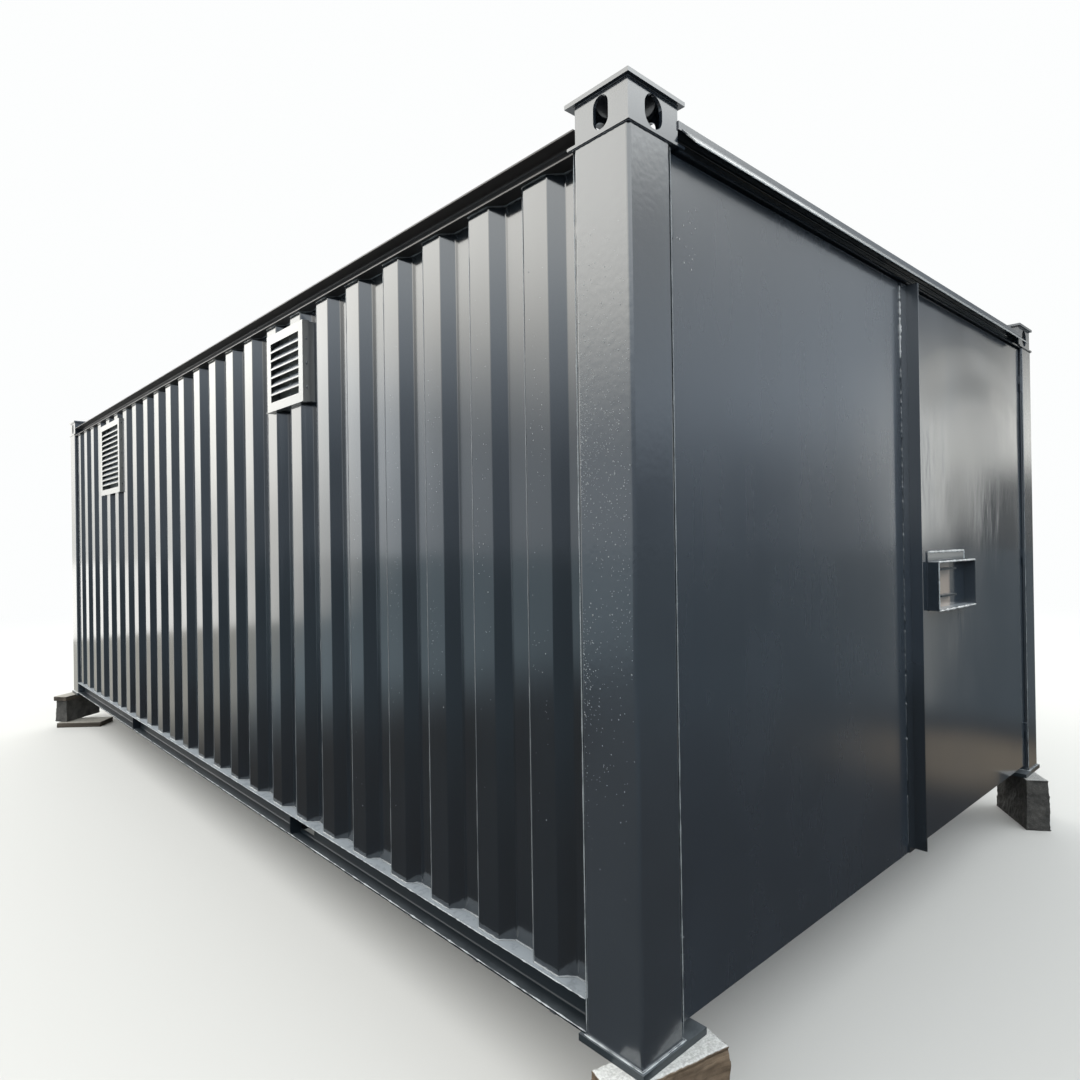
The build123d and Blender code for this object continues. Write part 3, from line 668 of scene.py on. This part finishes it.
# Welds of the lock box to its leaf: along its foot and both ends, and up one end of its strip
skin_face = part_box("right_door_skin")[0].y
low, high, weld_y = lock_low, lock_high, skin_face - 0.0005
strip_height = 0.048
lock_welds = [
    run((low.x, weld_y, low.z), (high.x, weld_y, low.z)),
    upright(low.x, weld_y, low.z, high.z),
    upright(high.x, weld_y, low.z, high.z - strip_height),
]
bead("lock_box_welds", lock_welds, 0.003, steel, "right_door")

# Pale lines along the edges that catch the sky, a painted highlight: the bottom rails' outer edges,
# rings round the posts' feet and the hood's lip
highlight_lines = []
for side, sx in SIDES:
    low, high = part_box(f"bottom_rail_{side}")
    x = outer_x(low, high, sx) + sx * 0.0002
    for z in (low.z + 0.0075, high.z - 0.0006):
        highlight_lines.append(run((x, low.y + 0.002, z), (x, high.y - 0.002, z)))
foot_ring_offset = 0.003
for corner in CORNERS:
    low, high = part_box(f"corner_post_{corner}")
    near, far = (low.x - foot_ring_offset, low.y - foot_ring_offset), (high.x + foot_ring_offset, high.y + foot_ring_offset)
    highlight_lines.append(loop_box(near, far, low.z + 0.0004))
low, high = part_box("drip_hood")
lip_z = min(v.co.z for v in nodes["drip_hood"].data.vertices if v.co.y < low.y + 0.0005)
highlight_lines.append(run((low.x + 0.001, low.y, lip_z), (high.x - 0.001, low.y, lip_z)))
bead("edge_highlight_lines", highlight_lines, 0.002, edge_painted_highlight, step=0.016, sides=5, ragged=1.5)


def on_skin(vertices, faces):
    """The same bead, pressed flat where it would come through a leaf's skin."""
    return [Vector((v.x, min(v.y, skin_face + 0.001), v.z)) for v in vertices], faces


# The broken weld between the meeting bar and the left leaf, heavier near its top, where it is near
# white as a painted highlight
low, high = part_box("meeting_bar")
heavy_above, short_gaps_above = 2.42, 2.4
least_run, run_spread, least_gap, gap_spread = 0.05, 0.16, 0.01, 0.05
upper, rest = [], []
z = low.z + 0.03
while z < high.z - 0.05:
    top = min(z + (least_run + run_spread * random.random()), high.z - 0.01)
    (upper if top > heavy_above else rest).append(upright(low.x, skin_face, z, top))
    gap = least_gap + gap_spread * random.random()
    z = top + gap * (1.0 if top < short_gaps_above else 0.15)
for name, paths, radius, finish in (
    ("meeting_bar_weld_top", upper, 0.005, pale_edge_painted_highlight),
    ("meeting_bar_weld", rest, 0.0036, seam_paint),
):
    beads = on_skin(*weld(paths, radius, ragged=0.9))
    piece_from(name, *beads, finish, "left_door", "painted_steel")

# The left leaf's hinge-side edge: a thin bead whose pale grey is a painted highlight of its bend
low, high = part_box("left_door_skin")
leaf_edge = [upright(low.x + 0.001, low.y, low.z + 0.002, high.z - 0.002)]
bead("left_leaf_edge", leaf_edge, 0.0013, weld_painted_highlight, "left_door", step=0.016, sides=5, ragged=0.8)

# Pale edges of the lock box and of the strip along its top, a painted highlight
low, high, front = lock_low, lock_high, lock_low.y
strip_right, strip_face = low.x + 0.462, high.y - 0.005
strip_z = high.z - 0.003
lips = [
    run((low.x, front, low.z), (high.x, front, low.z)),
    run((low.x, front, lock_top), (high.x, front, lock_top)),
    run((low.x, strip_face, strip_z), (strip_right, strip_face, strip_z)),
]
rims = [
    upright(low.x, front, low.z, lock_top),
    upright(strip_right, strip_face, high.z, lock_top),
]
bead("lock_box_lips", lips, 0.0048, pale_edge_painted_highlight, "right_door", step=0.01, ragged=0.9)
bead("lock_box_rims", rims, 0.003, edge_painted_highlight, "right_door", step=0.01, ragged=0.6)

# Tack welds on the ends of each vent's cover, and a thin screen behind its blades, whose pale
# colour is painted light seen between the blades
seam_depth, tack, pitch, spread = 0.0245, 0.018, 0.105, 0.03
screen_margin, screen_gap, screen_thickness = 0.004, 0.0005, 0.001
box_faces = ((3, 2, 1, 0), (4, 5, 6, 7), (0, 1, 5, 4), (1, 2, 6, 5), (2, 3, 7, 6), (3, 0, 4, 7))
for side, sx in SIDES:
    tacks, screens, sheets = [], [], []
    for size in ("small", "tall"):
        low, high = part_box(f"{size}_vent_{side}")
        sheets += [tuple(len(screens) + k for k in face) for face in box_faces]
        back = outer_x(low, high, -sx) + sx * screen_gap
        near, far = low.y + screen_margin, high.y - screen_margin
        foot, head = low.z + screen_margin, high.z - screen_margin
        for x in sorted((back, back + sx * screen_thickness)):
            screens += [(x, near, foot), (x, far, foot), (x, far, head), (x, near, head)]
        seam = outer_x(low, high, sx) - sx * seam_depth
        for y in (low.y, high.y):
            z = low.z + 0.06
            while z < high.z - 0.02:
                tacks.append(upright(seam, y, z, z + tack))
                z += pitch + spread * random.random()
    bead(f"vent_tacks_{side}", tacks, 0.003, steel, step=0.005)
    piece_from(
        f"vent_screens_{side}", screens, sheets, screen_painted_light, "store", "painted_steel",
        smooth=False,
    )


def dome(centre, out, radius, height, vertices, faces):
    """Adds one rain drop or speck: a low dome on a surface whose normal is out."""
    around = 8
    side = out.cross(Vector((0, 0, 1))).normalized()
    over = out.cross(side)
    start = len(vertices)
    for share, lift in ((1.0, 0.0), (0.8, 0.6), (0.42, 0.9)):
        for k in range(around):
            angle = 2 * math.pi * k / around
            offset = radius * share * (math.cos(angle) * side + 1.15 * math.sin(angle) * over)
            vertices.append(centre + offset + out * height * lift)
    vertices.append(centre + out * height)
    apex = start + 3 * around
    for ring in range(2):
        for k in range(around):
            a = start + ring * around + k
            b = start + ring * around + (k + 1) % around
            faces.append((a, b, b + around, a + around))
    for k in range(around):
        faces.append((apex - around + k, apex - around + (k + 1) % around, apex))
    faces.append(tuple(start + k for k in range(around))[::-1])


# Rain drops on the near post and on the ridges behind it, thickest at two heights; their pale grey
# is painted light
low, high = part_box("corner_post_front_left")
sheet_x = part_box("left_wall")[0].x
line = contours["left_wall", True]
ridges = [(a.y, b.y) for a, b in zip(line, line[1:]) if max(a.x, b.x) < sheet_x + 0.002]
ridges = [(a, b) for a, b in ridges if b - a > 0.05 and a < -1.9][:5]
drop_count, drops_on_post, edge_margin, lowest, highest = 1400, 1100, 0.012, 0.6, 2.5
left_face = Vector((-1, 0, 0))
vertices, faces = [], []
made_drops = 0
while made_drops < drop_count:
    on_post = made_drops < drops_on_post
    start, end = (low.y, high.y) if on_post else random.choice(ridges)
    back = random.random() ** (1.9 if on_post else 1.0)
    y = end - edge_margin - back * (end - start - 2 * edge_margin)
    z = random.uniform(lowest, highest)
    upper_cloud = math.exp(-((z - 1.85) / 0.42) ** 2)
    lower_cloud = 0.6 * math.exp(-((z - 1.4) / 0.14) ** 2)
    patch = 0.55 + 0.9 * noise.noise(Vector((0, y * 6, z * 2.2)))
    if random.random() < patch * (0.1 + upper_cloud + lower_cloud):
        centre = Vector((low.x if on_post else sheet_x, y, z))
        radius = 0.0008 + 0.0013 * random.random() ** 4
        dome(centre, left_face, radius, radius * 0.55, vertices, faces)
        made_drops += 1
piece_from("rain_on_left_face", vertices, faces, rain, "store", "painted_steel")

# White specks near the top hinge edge of the left leaf
low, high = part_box("left_door_skin")
front_face, speck_count, speck_height = Vector((0, -1, 0)), 16, 0.0008
vertices, faces = [], []
for n in range(speck_count):
    x = low.x + random.uniform(0.02, 0.12)
    z = high.z - random.uniform(0.12, 0.32)
    centre = Vector((x, low.y, z))
    dome(centre, front_face, random.uniform(0.001, 0.0032), speck_height, vertices, faces)
piece_from("white_specks", vertices, faces, chalk, "left_door", "painted_steel")


# Supports: rough blocks and boards in the place of the plain solids
def no_turn(point):
    return 0.0


def sleeper_turn(point):
    return math.radians(-14)


def board_turn(point):
    """The upper and the lower boards cross, and those on the right mirror those on the left."""
    turned = 36 if point.z > 0.15 else -40
    return math.radians(turned if point.x < 0 else -turned)


def rough_copy(node, name, finish, voxel, depth, grain_turns=no_turn):
    """A copy of the node, remeshed and worn inwards; tops and undersides keep their level."""
    made = bpy.data.objects.new(name, nodes[node].data.copy())
    scene.collection.objects.link(made)
    shaper = made.modifiers.new("remesh", "REMESH")
    shaper.mode = "VOXEL"
    shaper.voxel_size = voxel
    bpy.context.view_layer.update()
    graph = bpy.context.evaluated_depsgraph_get()
    mesh = bpy.data.meshes.new_from_object(made.evaluated_get(graph))
    made.modifiers.clear()
    made.data = mesh
    grain = mesh.attributes.new("grain", "FLOAT_VECTOR", "POINT")
    moved = []
    for vertex in mesh.vertices:
        point = vertex.co
        wear = 0.5 + 0.5 * noise.noise(point * 16) + 0.35 * noise.noise(point * 55)
        chip = max(0.0, noise.noise(point * 9 + Vector((3, 7, 1))) - 0.25) * 2.2
        sideways = 1 - abs(vertex.normal.z) ** 2 * 0.96
        inward = depth * (max(0.0, wear) + chip) * sideways
        angle = grain_turns(point)
        c, s = math.cos(angle), math.sin(angle)
        turned = (point.x * c + point.y * s, point.y * c - point.x * s, point.z)
        grain.data[vertex.index].vector = turned
        moved.append(point - vertex.normal * inward)
    for vertex, point in zip(mesh.vertices, moved):
        vertex.co = point
    mesh.shade_smooth()
    mesh.materials.clear()
    mesh.materials.append(finish)
    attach(made, "store")
    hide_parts(node)


# Node, piece, finish, voxel size, depth of the wear and, where it isn't plain, the grain's turn
for row in (
    ("support_front_left", "sleeper_front_left", sleeper_wood, 0.006, 0.011, sleeper_turn),
    ("support_front_right", "block_front_right", block_concrete, 0.006, 0.009),
    ("support_rear_left", "block_rear_left", block_concrete, 0.008, 0.009),
    ("support_rear_right", "block_rear_right", block_concrete, 0.008, 0.009),
    ("support_boards", "boards_rear", board_wood, 0.006, 0.004, board_turn),
):
    rough_copy(*row)

# Floor: pale to the camera and white far off. Reflections and light see brown ground, paler
# yards to the right and behind, and a bright white yard wall far behind
REACH = 90
floor_mesh = bpy.data.meshes.new("floor")
floor_corners = [(-REACH, -REACH, 0), (REACH, -REACH, 0), (REACH, REACH, 0), (-REACH, REACH, 0)]
floor_mesh.from_pydata(floor_corners, [], [(0, 1, 2, 3)])
floor = bpy.data.objects.new("floor", floor_mesh)
scene.collection.objects.link(floor)
floor_material = bpy.data.materials.new("floor")
t = Tree(floor_material)
where = t.place()
x, y, _ = t.axes(where)
from_middle = t.vector("LENGTH", where)

soil = t.mix(t.noise(where, 1.4, 4.0), (0.03, 0.024, 0.018), (0.055, 0.045, 0.035))
soil = t.mix(t.ramp(from_middle, 4.0, 9.0), soil, (0.065, 0.08, 0.092))
# The yard on the right has a pale stripe, by the heading from the door end
slope = t.math("DIVIDE", t.math("ADD", y, 3.5), t.math("MAXIMUM", x, 1.0))
pale_share = t.band(slope, (-0.42, -0.37), (-0.36, -0.3))
right_yard = t.mix(pale_share, (0.06, 0.07, 0.078), (0.3, 0.3, 0.29))
soil = t.mix(t.ramp(x, 3.6, 5.0), soil, right_yard)
# Brown mud in front of the right leaf
from_mud = t.vector("DISTANCE", where, (2.75, -4.25, 0))
soil = t.mix(t.fall(from_mud, 0.3, 1.2), soil, (0.19, 0.155, 0.115))
# The yard behind, by the heading from the left wall's line
slope = t.math("DIVIDE", t.math("ADD", x, 1.82), t.math("MAXIMUM", y, 1.0))
back_yard = t.mix(t.ramp(slope, -0.62, -0.36), (0.2, 0.245, 0.275), (0.4, 0.385, 0.35))
soil = t.mix(t.ramp(y, 0.5, 4.0), soil, back_yard)

ground = t.node("ShaderNodeBsdfDiffuse", Color=soil).outputs[0]
yard_wall = t.node("ShaderNodeEmission", Color=(1, 0.99, 0.95, 1), Strength=1.9).outputs[0]
wall_share = t.product(t.ramp(y, 10.5, 11.3), t.ramp(slope, -0.68, -0.34))
unseen = t.node("ShaderNodeMixShader", i0=wall_share, i1=ground, i2=yard_wall).outputs[0]
pale = t.node("ShaderNodeBsdfDiffuse", Color=(0.62, 0.62, 0.61, 1)).outputs[0]
open_white = t.node("ShaderNodeEmission", Color=(0.98, 0.99, 0.99, 1), Strength=1.0).outputs[0]
fading = t.ramp(from_middle, 4.5, 17.0)
seen = t.node("ShaderNodeMixShader", i0=fading, i1=pale, i2=open_white).outputs[0]
to_camera = t.node("ShaderNodeLightPath").outputs["Is Camera Ray"]
shown = t.node("ShaderNodeMixShader", i0=to_camera, i1=unseen, i2=seen).outputs[0]
t.node("ShaderNodeOutputMaterial", Surface=shown)
floor_mesh.materials.append(floor_material)

# World: white to the camera; to all else a soft sky with wide pale panels at mid height.
# Height is the sine of the angle above the horizon, level the heading as a flat unit vector
world = bpy.data.worlds.new("sky")
scene.world = world
t = Tree(world)
toward = t.node("ShaderNodeTexCoord").outputs["Generated"]
height = t.axes(toward)[2]
level = t.vector("NORMALIZE", t.vector("MULTIPLY", toward, (1, 1, 0)))
level_x, level_y, _ = t.axes(level)


def profile(start, *steps):
    """Brightness by height: each step (low, high, gain) is a smooth rise or fall."""
    total = start
    for low, high, gain in steps:
        total = t.math("ADD", total, t.ramp(height, low, high, 0.0, gain))
    return total


# What the left wall reflects, with a brighter strip in the direction along the wall
strip = t.product(
    t.ramp(level_y, 0.8, 0.93), t.ramp(level_y, 0.945, 0.99, 1.0, 0.36),
    t.ramp(height, 0.0, 0.14, 1.1, 2.15), t.fall(height, 0.2, 0.42),
)
over_left = t.math("ADD", profile(0.76, (0.12, 0.43, 2.95), (0.5, 0.85, -2.6)), strip)

# What the left leaf reflects, and further round what the right leaf and the post beyond it do
over_door = profile(0.22, (0.05, 0.2, 0.62), (0.4, 0.56, 2.6), (0.62, 0.9, -2.3))
tilted = t.math("ADD", height, t.ramp(level_y, -0.335, -0.27, 0.03, -0.06))
horizon = t.ramp(tilted, -0.01, 0.04, 0.1, 1.35)
over_right = profile(horizon, (0.11, 0.26, -1.05), (0.4, 0.56, 2.6), (0.62, 0.9, -2.3))
beyond = t.product(t.ramp(level_y, -0.252, -0.236, 0.0, 2.4), t.fall(level_y, -0.215, -0.19))
over_right = t.product(
    over_right, t.ramp(level_y, -0.335, -0.28, 1.5, 0.5), t.math("ADD", 1.0, beyond),
)
right_leaf = t.band(level_y, (-0.39, -0.345), (0.1, 0.4))
over_door = t.share(right_leaf, over_door, over_right)

# The rest, behind the camera, and the shares of the three
over_back = profile(0.36, (0.08, 0.5, 2.25), (0.6, 0.9, -1.7))
door_side = t.ramp(level_x, 0.2, 0.7)
far_left = t.ramp(t.vector("DOT_PRODUCT", level, (-0.45, 0.89, 0)), 0.0, 0.6)
bright = t.share(far_left, t.share(door_side, over_back, over_door), over_left)

cool = t.mix(t.ramp(height, 0.1, 0.5), (0.8, 0.93, 1.08), (0.97, 1.0, 1.0))
low_right = t.product(right_leaf, door_side, t.fall(height, 0.2, 0.3))
cool = t.mix(low_right, cool, (1.0, 1.0, 0.95))
warmth = t.math("MAXIMUM", t.ramp(height, 0.08, 0.3), t.ramp(level_y, 0.84, 0.92))
warm = t.mix(warmth, (0.9, 0.98, 1.05), (1.0, 0.99, 0.94))
tint = t.mix(far_left, cool, warm)
sky = t.node("ShaderNodeBackground", Color=tint, Strength=bright).outputs[0]
white = t.node("ShaderNodeBackground", Color=(0.98, 0.99, 0.99, 1), Strength=1.0).outputs[0]
to_camera = t.node("ShaderNodeLightPath").outputs["Is Camera Ray"]
shown = t.node("ShaderNodeMixShader", i0=to_camera, i1=sky, i2=white).outputs[0]
t.node("ShaderNodeOutputWorld", Surface=shown)

# One large soft lamp over the left side, which reflections don't show
lamp_place, lamp_aim = Vector((-5.5, 1.5, 8.5)), Vector((0, 0, 1.2))
lamp_size, lamp_radiance = 6.0, 1.6
lamp = bpy.data.lights.new("softbox_top", "AREA")
lamp.shape = "RECTANGLE"
lamp.size, lamp.size_y = lamp_size, lamp_size
lamp.energy = lamp_radiance * math.pi * lamp_size * lamp_size
softbox = bpy.data.objects.new("softbox_top", lamp)
softbox.location = lamp_place
softbox.rotation_mode = "QUATERNION"
softbox.rotation_quaternion = (lamp_aim - lamp_place).to_track_quat("-Z", "Y")
softbox.visible_camera = False
softbox.visible_glossy = False
scene.collection.objects.link(softbox)
